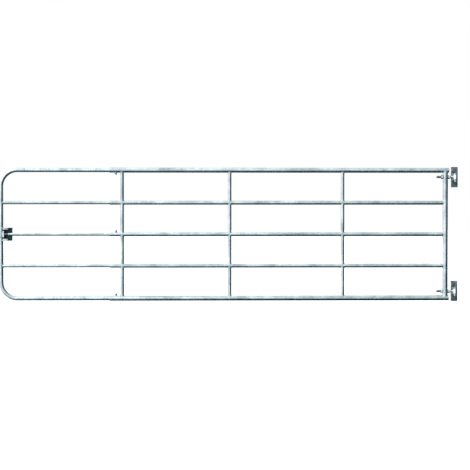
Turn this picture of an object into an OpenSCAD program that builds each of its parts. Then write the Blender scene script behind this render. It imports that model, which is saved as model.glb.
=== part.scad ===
// Telescopic field gate: five tubular rails, hung on two pins, with a spring bolt at the free end.
// Millimetres. +X runs along the closed gate towards the hinges, +Z is up, and -Y is the side the
// gate opens to. The origin is the centre of the lower hinge plate, on the face that lies on the post.

/* [Leaf] */
// Height of the leaf over the top and bottom tubes
leaf_h = 1100; // [900:1:1320]
// From the hinge axis to the front edge of the leaf, as set
leaf_reach = 3771; // [3140:1:4000]
// From the hinge axis to the centre of the hinge upright
upright_offset = 83; // [76:1:110]
// From the hinge axis to the front ends of the outer rails
outer_front = 2861; // [2500:1:3000]
// From the hinge axis to the centres of the three intermediate uprights
upright_places = [937, 1872, 2759]; // [700:1:2800]
// How far the top and bottom rails run on past the hinge upright
rail_run_past = 5; // [2:0.5:6]
// Length of the tubes of the sliding front frame, from the front edge
slide_length = 1440; // [1350:5:1700]

/* [Tubes] */
// Outer diameter of the tube bent into the front loop
loop_d = 35; // [30:0.1:40]
// Outer diameter of the three inner rails
inner_rail_d = 26.9; // [24:0.1:30]
// Wall of the front loop and of the inner rails
inner_wall = 2; // [1.5:0.1:3]
// Wall of the top rail, the bottom rail and the hinge upright
outer_wall = 3.2; // [2.5:0.1:4]
// Wall of the three outer mid rails
mid_wall = 2.9; // [2:0.1:3.5]
// Gap all round between a sliding tube and the tube that it slides in
slide_gap = 0.5; // [0.4:0.05:0.8]
// Outer diameter of the intermediate uprights
brace_d = 30; // [26:0.5:33]
// Wall of the intermediate uprights
brace_wall = 2; // [1.5:0.1:3]
// How far the upper and the lower rail stand nearer the centre rail than equal steps put them
rail_pull = 4; // [0:0.5:8]
// Radius of the loop's corners, on the tube's centre line
corner_r = 135; // [90:1:160]
// Gap left under a weld between two pieces
weld_gap = 0.2; // [0.1:0.05:0.4]

/* [Hinges] */
// From the post's face to the hinge axis
pin_offset = 42; // [36:1:60]
// From the top or bottom rail's centre to the eye bolt next to it
hinge_inset = 55; // [52:1:120]
// Width of a hinge plate
plate_w = 56; // [46:1:60]
// Height of a hinge plate
plate_h = 170; // [150:1:220]
// Thickness of a hinge plate
plate_t = 6; // [4:0.5:8]
// Distance between the two screws of a hinge plate
screw_pitch = 124; // [110:1:150]
// Diameter of the coach screws
screw_d = 10; // [8:1:12]
// Length of the coach screws under the head
screw_l = 80; // [60:5:120]
// Diameter of the hinge pins
pin_d = 18; // [16:0.5:20]
// Gap all round between a hinge pin and the eye that turns on it
pin_fit = 0.05; // [0.02:0.01:0.1]
// Width of a lug across the hinge pin
lug_w = 36; // [32:1:42]
// Thickness of a lug
lug_t = 8; // [6:0.5:10]
// Diameter of the eye bolt's rod
rod_d = 20; // [18:0.5:22]
// Diameter of the eye
eye_d = 40; // [34:0.5:42]
// Height of the eye
eye_h = 36; // [34:1:44]
// Gap between the eye and each lug
eye_gap = 0.3; // [0.2:0.1:1]
// From the hinge axis to the threaded end of the eye bolt
rod_reach = 158; // [150:1:190]

/* [Clamps] */
// How far the clamp screws stand back from the front ends of the outer rails
clamp_back = 49; // [30:1:60]
// Diameter of the clamp screws
clamp_d = 12; // [10:1:14]
// Gap between a tightened clamp screw's tip and the inner tube
clamp_tip_gap = 0.3; // [0.2:0.1:0.5]
// Height of a weld nut over the tube
weld_nut_h = 10; // [8:0.5:12]

/* [Latch] */
// Diameter of the latch bolt
bolt_d = 20; // [16:0.5:20]
// Gap all round between the latch bolt and the holes that it slides in
bolt_fit = 0.1; // [0.05:0.01:0.3]
// How far the bolt stands out of the front tube when it is shut
bolt_throw = 24; // [15:1:30]
// How far the bolt can be drawn back
bolt_travel = 26; // [20:1:30]
// Height of the latch box
box_h = 107; // [96:1:120]
// Length of the latch box's back along the rail
box_l = 72; // [64:1:80]
// Length of the latch box's front lips along the rail
lip_l = 41; // [30:1:50]
// Depth of the latch box in front of its back
box_depth = 44; // [40:1:60]
// Thickness of the latch box's sheet
sheet_t = 4; // [3:0.5:5]
// Height of the latch box's front lips
lip_h = 16; // [10:1:18]
// Height of the handle's grip
grip_h = 58; // [40:1:62]
// Diameter of the handle's grip
grip_d = 16; // [12:0.5:18]
// Thickness of the doubler plate round the front tube
doubler_t = 4; // [3:0.5:5]
// Height of the doubler plate
doubler_h = 60; // [40:1:80]

/* [Hidden] */
$fn = 48;
eps = 0.01;

// Tubes
top_d = loop_d + 2 * slide_gap + 2 * outer_wall;
mid_d = inner_rail_d + 2 * slide_gap + 2 * mid_wall;
leaf_y = -pin_offset;

// Heights of the five rails, from the bottom up, and of the two eye bolts
rail_pitch = (leaf_h - top_d) / 4;
bottom_z = -hinge_inset;
function rail_z(i) = bottom_z + i * rail_pitch + (i == 1 ? rail_pull : i == 3 ? -rail_pull : 0);
top_eye_z = rail_z(4) - hinge_inset;
hinge_zs = [0, top_eye_z];

// Places along the gate
front_x = -leaf_reach + loop_d / 2;
slide_end_x = -leaf_reach + slide_length;
clamp_x = -outer_front + clamp_back;
upright_x = -upright_offset;
rail_end_x = upright_x + top_d / 2 + rail_run_past;

// Caps in the open rail ends
cap_t = 2;
cap_plug = 18;
cap_gap = 0.1;

// Hinges
plate_hole_gap = 1.2;
plate_corner = 6;
head_af = 1.7 * screw_d;
head_h = 0.7 * screw_d;
lug_z = eye_h / 2 + eye_gap;
pin_head_lip = 4;
pin_head_d = pin_d + 2 * pin_head_lip;
pin_head_h = 5;
washer_rim = 7;
washer_d = pin_d + 2 * washer_rim;
washer_t = 3;
split_d = 4;
split_fit = 0.1;
split_below = 5;
pin_tail = 11;
pin_bottom_z = -(lug_z + lug_t + washer_t + pin_tail);
split_z = -(lug_z + lug_t + washer_t + split_below);
rod_hole_gap = 0.5;
nut_af = 1.5 * rod_d;
nut_h = 0.8 * rod_d;
nut_gap = 0.1;
thread_fit = 0.05;
rod_chamfer = 2;

// Clamps
clamp_af_over = 7;
clamp_af = clamp_d + clamp_af_over;
clamp_head_h = 7.5;
clamp_head_gap = 1;
clamp_hole_gap = 0.5;

// Latch
centre_z = rail_z(2);
handle_from_tube = 6.5;
handle_x = front_x + loop_d / 2 + handle_from_tube;
bolt_nose_x = front_x - loop_d / 2 - weld_gap - doubler_t - bolt_throw;
nose_chamfer = 3;
shoulder_from_handle = 14;
shoulder_x = handle_x + shoulder_from_handle;
tail_d = 12;
spring_l = 50;
spring_clear = 0.5;
spring_wire = 2.2;
spring_turns = 8;
bush_x = shoulder_x + spring_l;
bush_l = 12;
bush_fit = 0.2;
tail_past_bush = 14;
tail_end_x = bush_x + bush_l + tail_past_bush;
stem_d = 12;
slot_side_gap = 0.8;
slot_w = stem_d + 2 * slot_side_gap;
slot_spare = 2;
handle_screw_d = 8;
handle_screw_af = 13;
handle_screw_head_h = 5.5;
handle_screw_bite = 7;
grip_standoff = 16;
grip_y = leaf_y - inner_rail_d / 2 - grip_standoff;
grip_flat = 2;
grip_flat_rim = 2;
grip_flat_y = grip_y - grip_d / 2 + grip_flat;
box_back_y = leaf_y + inner_rail_d / 2 + weld_gap;

GALV = [0.72, 0.75, 0.77];
GALV_DARK = [0.58, 0.61, 0.63];
ZINC = [0.80, 0.80, 0.76];
SPRING = [0.42, 0.42, 0.44];
NYLON = [0.92, 0.91, 0.86];

// ---- Stock shapes ----

// A round bar along X from x0 to x1, on the leaf's middle plane at height z
module bar_x(d, x0, x1, z) {
    translate([x0, leaf_y, z]) rotate([0, 90, 0]) cylinder(d = d, h = x1 - x0);
}

// A tube along X from x0 to x1, on the leaf's middle plane at height z
module tube_x(d, wall, x0, x1, z) {
    difference() {
        bar_x(d, x0, x1, z);
        bar_x(d - 2 * wall, x0 - 1, x1 + 1, z);
    }
}

// A round bar along Z at x on the leaf's middle plane, from z0 to z1
module bar_z(d, x, z0, z1) {
    translate([x, leaf_y, z0]) cylinder(d = d, h = z1 - z0);
}

// A hexagonal prism across flats af, standing on z = 0
module hex(af, h) {
    cylinder(d = af / cos(30), h = h, $fn = 6);
}

// Diameter of rail i, counted from the bottom, over its outer tube
function rail_d(i) = (i == 0 || i == 4) ? top_d : mid_d;

// ---- Post side ----

module hinge_plate(z) {
    color(GALV) translate([0, 0, z]) difference() {
        rotate([90, 0, 0]) linear_extrude(plate_t) rounded_plate();
        for (s = [-1, 1]) translate([0, 1, s * screw_pitch / 2]) rotate([90, 0, 0])
            cylinder(d = screw_d + 2 * plate_hole_gap, h = plate_t + 2);
    }
}

module rounded_plate() {
    w = plate_w / 2 - plate_corner;
    h = plate_h / 2 - plate_corner;
    square([plate_w, 2 * h], center = true);
    square([2 * w, plate_h], center = true);
    for (i = [-1, 1], j = [-1, 1]) translate([i * w, j * h]) circle(plate_corner);
}

// The two lugs stand on the plate, one over and one under the eye
module hinge_lugs(z) {
    color(GALV) for (low = [lug_z, -lug_z - lug_t]) translate([0, 0, z + low]) difference() {
        union() {
            translate([-lug_w / 2, leaf_y, 0]) cube([lug_w, pin_offset - plate_t, lug_t]);
            translate([0, leaf_y, 0]) cylinder(d = lug_w, h = lug_t);
        }
        translate([0, leaf_y, -1]) cylinder(d = pin_d + 2 * pin_fit, h = lug_t + 2);
    }
}

module hinge_pin(z) {
    color(ZINC) translate([0, leaf_y, z]) difference() {
        union() {
            translate([0, 0, pin_bottom_z]) cylinder(d = pin_d, h = lug_z + lug_t - pin_bottom_z);
            translate([0, 0, lug_z + lug_t]) cylinder(d = pin_head_d, h = pin_head_h);
        }
        translate([-pin_d, 0, split_z]) rotate([0, 90, 0])
            cylinder(d = split_d + 2 * split_fit, h = 2 * pin_d);
    }
}

module pin_washers() {
    color(ZINC) for (z = hinge_zs) translate([0, leaf_y, z - lug_z - lug_t - washer_t]) difference() {
        cylinder(d = washer_d, h = washer_t);
        translate([0, 0, -1]) cylinder(d = pin_d + 2 * pin_fit, h = washer_t + 2);
    }
}

// Each split pin is a straight shank with a round eye at one end
module split_pins() {
    reach = pin_d / 2 + 5;
    ring_r = 4.5;
    ring_wire_r = 1.8;
    ring_sink = 0.5;
    color(ZINC) for (z = hinge_zs) translate([0, leaf_y, z + split_z]) {
        union() {
            translate([-reach, 0, 0]) rotate([0, 90, 0]) cylinder(d = split_d, h = 2 * reach);
            translate([reach + ring_r - ring_sink, 0, 0])
                rotate_extrude() translate([ring_r, 0]) circle(ring_wire_r, $fn = 24);
        }
    }
}

module plate_screws() {
    tip = 10;
    tip_d = 2;
    color(ZINC) for (z = hinge_zs, s = [-1, 1])
        translate([0, -plate_t, z + s * screw_pitch / 2]) rotate([-90, 0, 0]) {
            translate([0, 0, -head_h]) hex(head_af, head_h);
            cylinder(d = screw_d, h = screw_l - tip);
            translate([0, 0, screw_l - tip]) cylinder(d1 = screw_d, d2 = tip_d, h = tip);
        }
}

// ---- Hinge-side frame ----

// Side of rail i that its clamp screw comes in from: 1 from above, -1 from below, 0 for none
function clamp_side(i) = i == 4 ? -1 : (i == 0 || i == 2 ? 1 : 0);

module clamp_hole(i) {
    s = clamp_side(i);
    if (s != 0) translate([clamp_x, leaf_y, rail_z(i)]) rotate([s > 0 ? 0 : 180, 0, 0])
        cylinder(d = clamp_d + 2 * clamp_hole_gap, h = rail_d(i));
}

module outer_rail(i) {
    d = rail_d(i);
    wall = (i == 0 || i == 4) ? outer_wall : mid_wall;
    end_x = (i == 0 || i == 4) ? rail_end_x : upright_x;
    color(GALV) difference() {
        tube_x(d, wall, -outer_front, end_x, rail_z(i));
        if (end_x == upright_x)
            bar_z(top_d + 2 * weld_gap, upright_x, rail_z(i) - d, rail_z(i) + d);
        clamp_hole(i);
    }
}

module hinge_upright() {
    color(GALV) difference() {
        bar_z(top_d, upright_x, rail_z(0), rail_z(4));
        bar_z(top_d - 2 * outer_wall, upright_x, rail_z(0) - 1, rail_z(4) + 1);
        for (i = [0, 4]) bar_x(top_d + 2 * weld_gap, upright_x - top_d, rail_end_x + top_d, rail_z(i));
        for (z = hinge_zs) bar_x(rod_d + 2 * rod_hole_gap, upright_x - top_d, upright_x + top_d, z);
    }
}

// One intermediate upright: four lengths of tube, each shaped to fit the rail over and under it
module intermediate_upright(x) {
    color(GALV) for (i = [0:3]) difference() {
        bar_z(brace_d, x, rail_z(i), rail_z(i + 1));
        bar_z(brace_d - 2 * brace_wall, x, rail_z(i) - 1, rail_z(i + 1) + 1);
        for (j = [i, i + 1]) bar_x(rail_d(j) + 2 * weld_gap, x - brace_d, x + brace_d, rail_z(j));
    }
}

module rail_caps() {
    color(GALV_DARK) for (i = [0, 4]) {
        union() {
            bar_x(top_d, rail_end_x, rail_end_x + cap_t, rail_z(i));
            tube_x(top_d - 2 * outer_wall - 2 * cap_gap, cap_t, rail_end_x - cap_plug, rail_end_x + eps,
                rail_z(i));
        }
    }
}

module eye_bolt(z) {
    color(ZINC) translate([0, leaf_y, z]) difference() {
        union() {
            translate([0, 0, -eye_h / 2]) cylinder(d = eye_d, h = eye_h);
            rotate([0, -90, 0]) {
                cylinder(d = rod_d, h = rod_reach - rod_chamfer);
                translate([0, 0, rod_reach - rod_chamfer])
                    cylinder(d1 = rod_d, d2 = rod_d - 2 * rod_chamfer, h = rod_chamfer);
            }
        }
        translate([0, 0, -eye_h]) cylinder(d = pin_d + 2 * pin_fit, h = 2 * eye_h);
    }
}

// Two nuts on each eye bolt, one on each side of the hinge upright
module eye_bolt_nuts() {
    seat = top_d / 2 + nut_gap;
    color(ZINC) for (z = hinge_zs, x = [upright_x - seat - nut_h, upright_x + seat])
        translate([x, leaf_y, z]) rotate([0, 90, 0]) difference() {
            hex(nut_af, nut_h);
            translate([0, 0, -1]) cylinder(d = rod_d + 2 * thread_fit, h = nut_h + 2);
        }
}

// The weld nuts are shaped to sit on the round rails
module clamp_nuts() {
    color(GALV) for (i = [0, 2, 4]) difference() {
        translate([clamp_x, leaf_y, rail_z(i)]) rotate([clamp_side(i) > 0 ? 0 : 180, 0, 0]) difference() {
            hex(clamp_af, rail_d(i) / 2 + weld_nut_h);
            cylinder(d = clamp_d + 2 * thread_fit, h = rail_d(i) + weld_nut_h);
        }
        bar_x(rail_d(i) + 2 * weld_gap, clamp_x - clamp_af, clamp_x + clamp_af, rail_z(i));
    }
}

// ---- Sliding front frame ----

// A quarter ring of the loop: bend = 1 at the top corner, -1 at the bottom one
module loop_corner(d, bend) {
    z = bend > 0 ? rail_z(4) - corner_r : rail_z(0) + corner_r;
    translate([front_x + corner_r, leaf_y, z]) rotate([90, 0, 0])
        rotate([0, 0, bend > 0 ? 90 : 180]) rotate_extrude(angle = 90, $fn = 96)
            translate([corner_r, 0]) circle(d = d);
}

// The loop as a solid bar of diameter d: top leg, corner, front upright, corner, bottom leg
module loop_bar(d, end_x) {
    union() {
        bar_x(d, front_x + corner_r, end_x, rail_z(4));
        bar_x(d, front_x + corner_r, end_x, rail_z(0));
        bar_z(d, front_x, rail_z(0) + corner_r, rail_z(4) - corner_r);
        loop_corner(d, 1);
        loop_corner(d, -1);
    }
}

module front_loop() {
    color(GALV) difference() {
        loop_bar(loop_d, slide_end_x);
        loop_bar(loop_d - 2 * inner_wall, slide_end_x + 1);
        bar_x(bolt_d + 2 * bolt_fit, front_x - loop_d, front_x + loop_d, centre_z);
    }
}

module inner_rail(i) {
    color(GALV) difference() {
        tube_x(inner_rail_d, inner_wall, front_x, slide_end_x, rail_z(i));
        bar_z(loop_d + 2 * weld_gap, front_x, rail_z(i) - inner_rail_d, rail_z(i) + inner_rail_d);
        if (i == 2) handle_slot();
    }
}

// The slot in the front wall of the centre inner rail that the handle's stem moves along
module handle_slot() {
    x0 = handle_x - slot_spare;
    x1 = handle_x + bolt_travel + slot_spare;
    translate([x0, leaf_y - inner_rail_d, centre_z - slot_w / 2])
        cube([x1 - x0, inner_rail_d, slot_w]);
    for (x = [x0, x1]) translate([x, leaf_y, centre_z]) rotate([90, 0, 0])
        cylinder(d = slot_w, h = inner_rail_d);
}

// A lipped channel: its back lies behind the centre rail, its two arms point to the opening side
module latch_box() {
    side_x = front_x + loop_d / 2;
    end_x = side_x + box_l;
    lip_end_x = side_x + lip_l;
    rear_y = box_back_y + sheet_t;
    front_y = box_back_y - box_depth;
    arm = [[front_x, rear_y], [front_x, leaf_y - loop_d / 2], [side_x, front_y],
        [lip_end_x, front_y], [end_x, box_back_y], [end_x, rear_y]];
    color(GALV) difference() {
        union() {
            translate([front_x, box_back_y, centre_z - box_h / 2])
                cube([end_x - front_x, sheet_t, box_h]);
            for (z = [centre_z - box_h / 2, centre_z + box_h / 2 - sheet_t])
                translate([0, 0, z]) linear_extrude(sheet_t) polygon(arm);
            for (z = [centre_z - box_h / 2, centre_z + box_h / 2 - lip_h])
                translate([side_x, front_y, z]) cube([lip_l, sheet_t, lip_h]);
        }
        bar_z(loop_d + 2 * weld_gap, front_x, centre_z - box_h, centre_z + box_h);
    }
}

// A half shell round the outside of the front tube, where the bolt comes out
module latch_doubler() {
    inner_d = loop_d + 2 * weld_gap;
    color(GALV) difference() {
        bar_z(inner_d + 2 * doubler_t, front_x, centre_z - doubler_h / 2, centre_z + doubler_h / 2);
        bar_z(inner_d, front_x, centre_z - doubler_h, centre_z + doubler_h);
        translate([front_x, leaf_y - loop_d, centre_z - doubler_h])
            cube([loop_d, 2 * loop_d, 2 * doubler_h]);
        bar_x(bolt_d + 2 * bolt_fit, front_x - loop_d, front_x, centre_z);
    }
}

module latch_bush() {
    color(NYLON) difference() {
        bar_x(inner_rail_d - 2 * inner_wall - 2 * bush_fit, bush_x, bush_x + bush_l, centre_z);
        bar_x(tail_d + 2 * bolt_fit, bush_x - 1, bush_x + bush_l + 1, centre_z);
    }
}

// The spring's wire is swept along a helix, with rings of wire_sides points
function helix_at(t) = let (
        r = tail_d / 2 + spring_clear + spring_wire / 2,
        run = spring_l - spring_wire - 2 * spring_clear
    )
    [r * cos(360 * spring_turns * t), r * sin(360 * spring_turns * t), run * t];

module latch_spring() {
    wire_sides = 8;
    steps = 14 * spring_turns;
    points = [for (k = [0:steps]) let (
            angle = 360 * spring_turns * k / steps,
            centre = helix_at(k / steps)
        )
        for (j = [0:wire_sides - 1]) let (a = 360 * j / wire_sides)
            centre + spring_wire / 2 * [cos(a) * cos(angle), cos(a) * sin(angle), sin(a)]];
    sides = [for (k = [0:steps - 1], j = [0:wire_sides - 1]) let (
            a = k * wire_sides + j,
            b = k * wire_sides + (j + 1) % wire_sides
        )
        [a, a + wire_sides, b + wire_sides, b]];
    first = [for (j = [0:wire_sides - 1]) j];
    last = [for (j = [wire_sides - 1:-1:0]) steps * wire_sides + j];
    color(SPRING) translate([shoulder_x + spring_wire / 2 + spring_clear, leaf_y, centre_z])
        rotate([0, 90, 0]) polyhedron(points, concat([first], sides, [last]));
}

// ---- Latch bolt and handle ----

module latch_bolt() {
    color(ZINC) difference() {
        union() {
            translate([bolt_nose_x, leaf_y, centre_z]) rotate([0, 90, 0])
                cylinder(d1 = bolt_d - 2 * nose_chamfer, d2 = bolt_d, h = nose_chamfer);
            bar_x(bolt_d, bolt_nose_x + nose_chamfer, shoulder_x, centre_z);
            bar_x(tail_d, shoulder_x, tail_end_x, centre_z);
        }
        translate([handle_x, leaf_y, centre_z]) rotate([90, 0, 0])
            cylinder(d = handle_screw_d + 2 * thread_fit, h = bolt_d);
    }
}

// A round grip with domed ends on a stem that is shaped to sit on the bolt
module latch_handle() {
    half = grip_h / 2 - grip_d / 2;
    color(ZINC) difference() {
        union() {
            translate([handle_x, grip_y, centre_z - half]) cylinder(d = grip_d, h = 2 * half);
            for (s = [-1, 1]) translate([handle_x, grip_y, centre_z + s * half]) sphere(d = grip_d);
            translate([handle_x, leaf_y, centre_z]) rotate([90, 0, 0])
                cylinder(d = stem_d, h = leaf_y - grip_y);
        }
        bar_x(bolt_d + 2 * thread_fit, handle_x - stem_d, handle_x + stem_d, centre_z);
        translate([handle_x, leaf_y, centre_z]) rotate([90, 0, 0])
            cylinder(d = handle_screw_d + 2 * thread_fit, h = 2 * grip_d + inner_rail_d);
        translate([handle_x, grip_flat_y, centre_z]) rotate([90, 0, 0])
            cylinder(d = handle_screw_af + 2 * grip_flat_rim, h = grip_d);
    }
}

module handle_screw() {
    tip_y = leaf_y - bolt_d / 2 + handle_screw_bite;
    color(ZINC) translate([handle_x, grip_flat_y, centre_z]) rotate([-90, 0, 0]) {
        cylinder(d = handle_screw_d, h = tip_y - grip_flat_y);
        translate([0, 0, -handle_screw_head_h]) hex(handle_screw_af, handle_screw_head_h);
    }
}

// ---- Clamp screws ----

// A hexagon screw through weld nut and rail, down to the inner tube
module clamp_screw(i) {
    inner_d = (i == 0 || i == 4) ? loop_d : inner_rail_d;
    tip = inner_d / 2 + clamp_tip_gap;
    head = rail_d(i) / 2 + weld_nut_h + clamp_head_gap;
    color(ZINC) translate([clamp_x, leaf_y, rail_z(i)]) rotate([clamp_side(i) > 0 ? 0 : 180, 0, 0]) {
        translate([0, 0, tip]) cylinder(d = clamp_d, h = head - tip);
        translate([0, 0, head]) hex(clamp_af, clamp_head_h);
    }
}

hinge_plate(0);  // hinge_plate_bottom
hinge_plate(top_eye_z);  // hinge_plate_top
hinge_lugs(0);  // hinge_lugs_bottom
hinge_lugs(top_eye_z);  // hinge_lugs_top
hinge_pin(0);  // hinge_pin_bottom
hinge_pin(top_eye_z);  // hinge_pin_top
pin_washers();
split_pins();
plate_screws();
outer_rail(4);  // top_rail
outer_rail(3);  // upper_rail
outer_rail(2);  // centre_rail
outer_rail(1);  // lower_rail
outer_rail(0);  // bottom_rail
hinge_upright();
intermediate_upright(-upright_places[0]);  // rear_upright
intermediate_upright(-upright_places[1]);  // middle_upright
intermediate_upright(-upright_places[2]);  // front_upright
rail_caps();
eye_bolt(0);  // eye_bolt_bottom
eye_bolt(top_eye_z);  // eye_bolt_top
eye_bolt_nuts();
clamp_nuts();
front_loop();
inner_rail(3);  // upper_inner_rail
inner_rail(2);  // centre_inner_rail
inner_rail(1);  // lower_inner_rail
latch_box();
latch_doubler();
latch_bush();
latch_spring();
latch_bolt();
latch_handle();
handle_screw();
clamp_screw(4);  // clamp_screw_top
clamp_screw(2);  // clamp_screw_centre
clamp_screw(0);  // clamp_screw_bottom
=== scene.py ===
# %% [markdown]
# # A telescopic field gate, dressed for a render
#
# A farm gate of this kind is a ladder of round steel tubes. A wide rear frame hangs on two hinge
# pins, and a thinner front frame slides inside its rails, so that one gate fits many openings.
# The solid model already holds every tube in its place. This lesson keeps those tubes and adds what
# a solid model leaves out: weld beads, rolled threads, chamfered nuts, eased edges and a dull zinc skin.

# %% Load the fixed frame
import math
import bmesh
import bpy
from mathutils import Matrix, Vector


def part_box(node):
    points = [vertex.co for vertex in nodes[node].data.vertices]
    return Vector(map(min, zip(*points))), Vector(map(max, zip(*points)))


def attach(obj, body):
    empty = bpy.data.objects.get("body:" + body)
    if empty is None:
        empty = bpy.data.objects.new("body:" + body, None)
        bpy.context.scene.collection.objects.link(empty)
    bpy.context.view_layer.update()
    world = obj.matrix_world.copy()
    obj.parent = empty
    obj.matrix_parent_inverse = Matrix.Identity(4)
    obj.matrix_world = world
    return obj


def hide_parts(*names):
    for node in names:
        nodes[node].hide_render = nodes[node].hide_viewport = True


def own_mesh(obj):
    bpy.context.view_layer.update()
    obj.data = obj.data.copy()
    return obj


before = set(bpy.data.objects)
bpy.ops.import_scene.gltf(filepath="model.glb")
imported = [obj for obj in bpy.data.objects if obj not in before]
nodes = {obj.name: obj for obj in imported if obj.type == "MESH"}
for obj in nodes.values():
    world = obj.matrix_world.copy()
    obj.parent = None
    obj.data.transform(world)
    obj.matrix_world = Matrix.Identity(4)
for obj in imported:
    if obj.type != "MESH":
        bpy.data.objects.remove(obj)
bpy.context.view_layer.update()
scene = bpy.context.scene

# %% [markdown]
# ## Where things are
#
# Every place in this lesson is read from the boxes of the solids, never typed in twice. A tube's box
# gives its axis and its radius. Blender counts in metres, so lengths that are set here carry `MM`.

# %% Read axes and radii from the boxes
MM = 0.001
X, Y, Z = Vector((1, 0, 0)), Vector((0, 1, 0)), Vector((0, 0, 1))


def middle(node):
    low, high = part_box(node)
    return (Vector(low) + Vector(high)) / 2


def size(node):
    low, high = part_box(node)
    return Vector(high) - Vector(low)


def corners(node):
    return [Vector(corner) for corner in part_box(node)]


RAILS = ["bottom_rail", "lower_rail", "centre_rail", "upper_rail", "top_rail"]
BOTTOM, LOWER, CENTRE, UPPER, TOP = range(len(RAILS))
UPRIGHTS = ["front_upright", "middle_upright", "rear_upright"]
leaf_y = middle("centre_rail").y
rail_z = [middle(name).z for name in RAILS]
rail_r = [size(name).z / 2 for name in RAILS]
hinge_x = middle("hinge_upright").x
hinge_r = size("hinge_upright").y / 2
front_r = size("front_loop").y / 2
front_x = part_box("front_loop")[0][0] + front_r
clamp_x = middle("clamp_screw_top").x
eye_z = [middle("eye_bolt_bottom").z, middle("eye_bolt_top").z]
print("rails at", [round(z, 4) for z in rail_z], "front tube at", round(front_x, 4))

# %% [markdown]
# ## The camera comes first
#
# The gate is seen almost square on, through a long lens, so its rails stay level and its uprights stay
# plumb. A camera nine metres away with a narrow view gives that flat look. It stands a little towards
# the latch and a little above the middle rail, and both turns are small enough to keep the lines true.

# %% Camera
CAMERA_AWAY = 9.0
VIEW_WIDTH = 3.887
VIEW_CENTRE = Vector((-1.828, leaf_y, 0.467))
TURN, TILT = math.radians(1.1), math.radians(1.0)
LEVEL = math.radians(90)
camera = bpy.data.objects.new("camera", bpy.data.cameras.new("camera"))
camera.data.sensor_width = 36.0
camera.data.lens = camera.data.sensor_width * CAMERA_AWAY / VIEW_WIDTH
camera.rotation_euler = (LEVEL - TILT, 0, -TURN)
view_line = camera.rotation_euler.to_matrix() @ -Z
camera.location = VIEW_CENTRE - view_line * CAMERA_AWAY
scene.collection.objects.link(camera)
scene.camera = camera
print("lens", round(camera.data.lens, 1), "mm at", [round(v, 3) for v in camera.location])

# %% [markdown]
# ## Node helpers
#
# Materials, the sky and Geometry Nodes are all trees of nodes, so one small function serves them all:
# it adds a node, sets it up, and either links an input or gives it a value. Colours are picked as sRGB
# hex values, as on a paint card, and turned into the linear numbers that a renderer needs.

# %% One function for nodes, one for colours
def add(tree, kind, settings=None, inputs=None, stops=()):
    """Add one node. An input is given a link or a plain value. `stops` are a ramp's places and colours."""
    made = tree.nodes.new(kind)
    for key, value in (settings or {}).items():
        setattr(made, key, value)
    for key, value in (inputs or {}).items():
        socket = made.inputs[key]
        if isinstance(value, bpy.types.NodeSocket):
            tree.links.new(value, socket)
        else:
            socket.default_value = value
    if stops:
        elements = made.color_ramp.elements
        while len(elements) < len(stops):
            elements.new(0.5)
        for element, (place, colour) in zip(elements, stops):
            element.position = place
            element.color = colour
    return made


def linear(hex_value):
    channels = [int(hex_value[i:i + 2], 16) / 255 for i in (1, 3, 5)]
    return tuple(c / 12.92 if c <= 0.04045 else ((c + 0.055) / 1.055) ** 2.4 for c in channels) + (1.0,)


WHITE = linear("#ffffff")
# A Mix node has sockets for every kind of data. These are the numbers of the ones for colours.
FACTOR, FIRST, SECOND, RESULT = 0, 6, 7, 2
MULTIPLY = {"data_type": "RGBA", "blend_type": "MULTIPLY"}
print("mid grey #808080 is", round(linear("#808080")[0], 3), "in linear light")


# %% [markdown]
# ## Hot-dip galvanised steel: its colour
#
# The welded frame is dipped whole in molten zinc. The skin that sets on it is a dull, bluish silver
# with a spangle: flat crystals a few millimetres wide, each a little lighter or darker than the next.
# Over that lie broad clouds, where the zinc stayed thicker, and faint runs along the tube. A metal's
# colour is its reflection, so metallic is full and the colour is a light cool grey. Voronoi cells make
# the crystals, one noise makes the clouds and a stretched one makes the runs.

# %% Crystals over clouds and runs
SPANGLE = 7 * MM
CLOUD = 90 * MM


def new_material(name):
    made = bpy.data.materials.new(name)
    made.use_nodes = True
    tree = made.node_tree
    shader = tree.nodes["Principled BSDF"]
    place = add(tree, "ShaderNodeTexCoord").outputs["Object"]
    return made, tree, shader, place


def metal(tree, shader, colour, rough, normal):
    for label, socket in (("Base Color", colour), ("Roughness", rough), ("Normal", normal)):
        tree.links.new(socket, shader.inputs[label])
    shader.inputs["Metallic"].default_value = 1.0


def zinc_colour(tree, place, tone, run_scale, dark, light, cloud):
    clouds = add(tree, "ShaderNodeTexNoise", inputs={"Vector": place, "Scale": 1 / cloud, "Detail": 5.0})
    stretched = add(tree, "ShaderNodeMapping", inputs={"Vector": place, "Scale": run_scale}).outputs[0]
    runs = add(tree, "ShaderNodeTexNoise", inputs={"Vector": stretched, "Scale": 1.0, "Detail": 3.0})
    cloudy = add(tree, "ShaderNodeValToRGB", inputs={"Fac": clouds.outputs["Fac"]},
                 stops=[(0.34, linear(dark)), (0.68, linear(light))]).outputs["Color"]
    streak = add(tree, "ShaderNodeValToRGB", inputs={"Fac": runs.outputs["Fac"]},
                 stops=[(0.3, linear("#b4bfc6")), (0.6, WHITE)]).outputs["Color"]
    crystal = add(tree, "ShaderNodeValToRGB", inputs={"Fac": tone},
                  stops=[(0.1, linear("#c3cdd3")), (0.9, WHITE)]).outputs["Color"]
    streaked = add(tree, "ShaderNodeMix", MULTIPLY, {FACTOR: 0.55, FIRST: cloudy, SECOND: streak})
    spangled = add(tree, "ShaderNodeMix", MULTIPLY,
                   {FACTOR: 0.5, FIRST: streaked.outputs[RESULT], SECOND: crystal})
    return spangled.outputs[RESULT]


print("crystals", SPANGLE / MM, "mm wide, clouds", CLOUD / MM, "mm")

# %% [markdown]
# ## Its relief, and the grime in the latch box
#
# Each crystal meets the next in a faint ridge, and fine grit lies all over, both far too shallow to
# model, so two Bump nodes draw them. Inside the latch box the zinc is darkened with painted shade, the
# shade that its arms cast. The darkening is worked out from the depth in the box, and leaves its lips
# and its back as they were dipped.

# %% Ridges, grit and painted shade
GRIT = 0.9 * MM
# Painted shade: the dark colour laid over the zinc inside the latch box, where its arms shade it
BOX_SHADE = linear("#4a5a5e")


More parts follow.
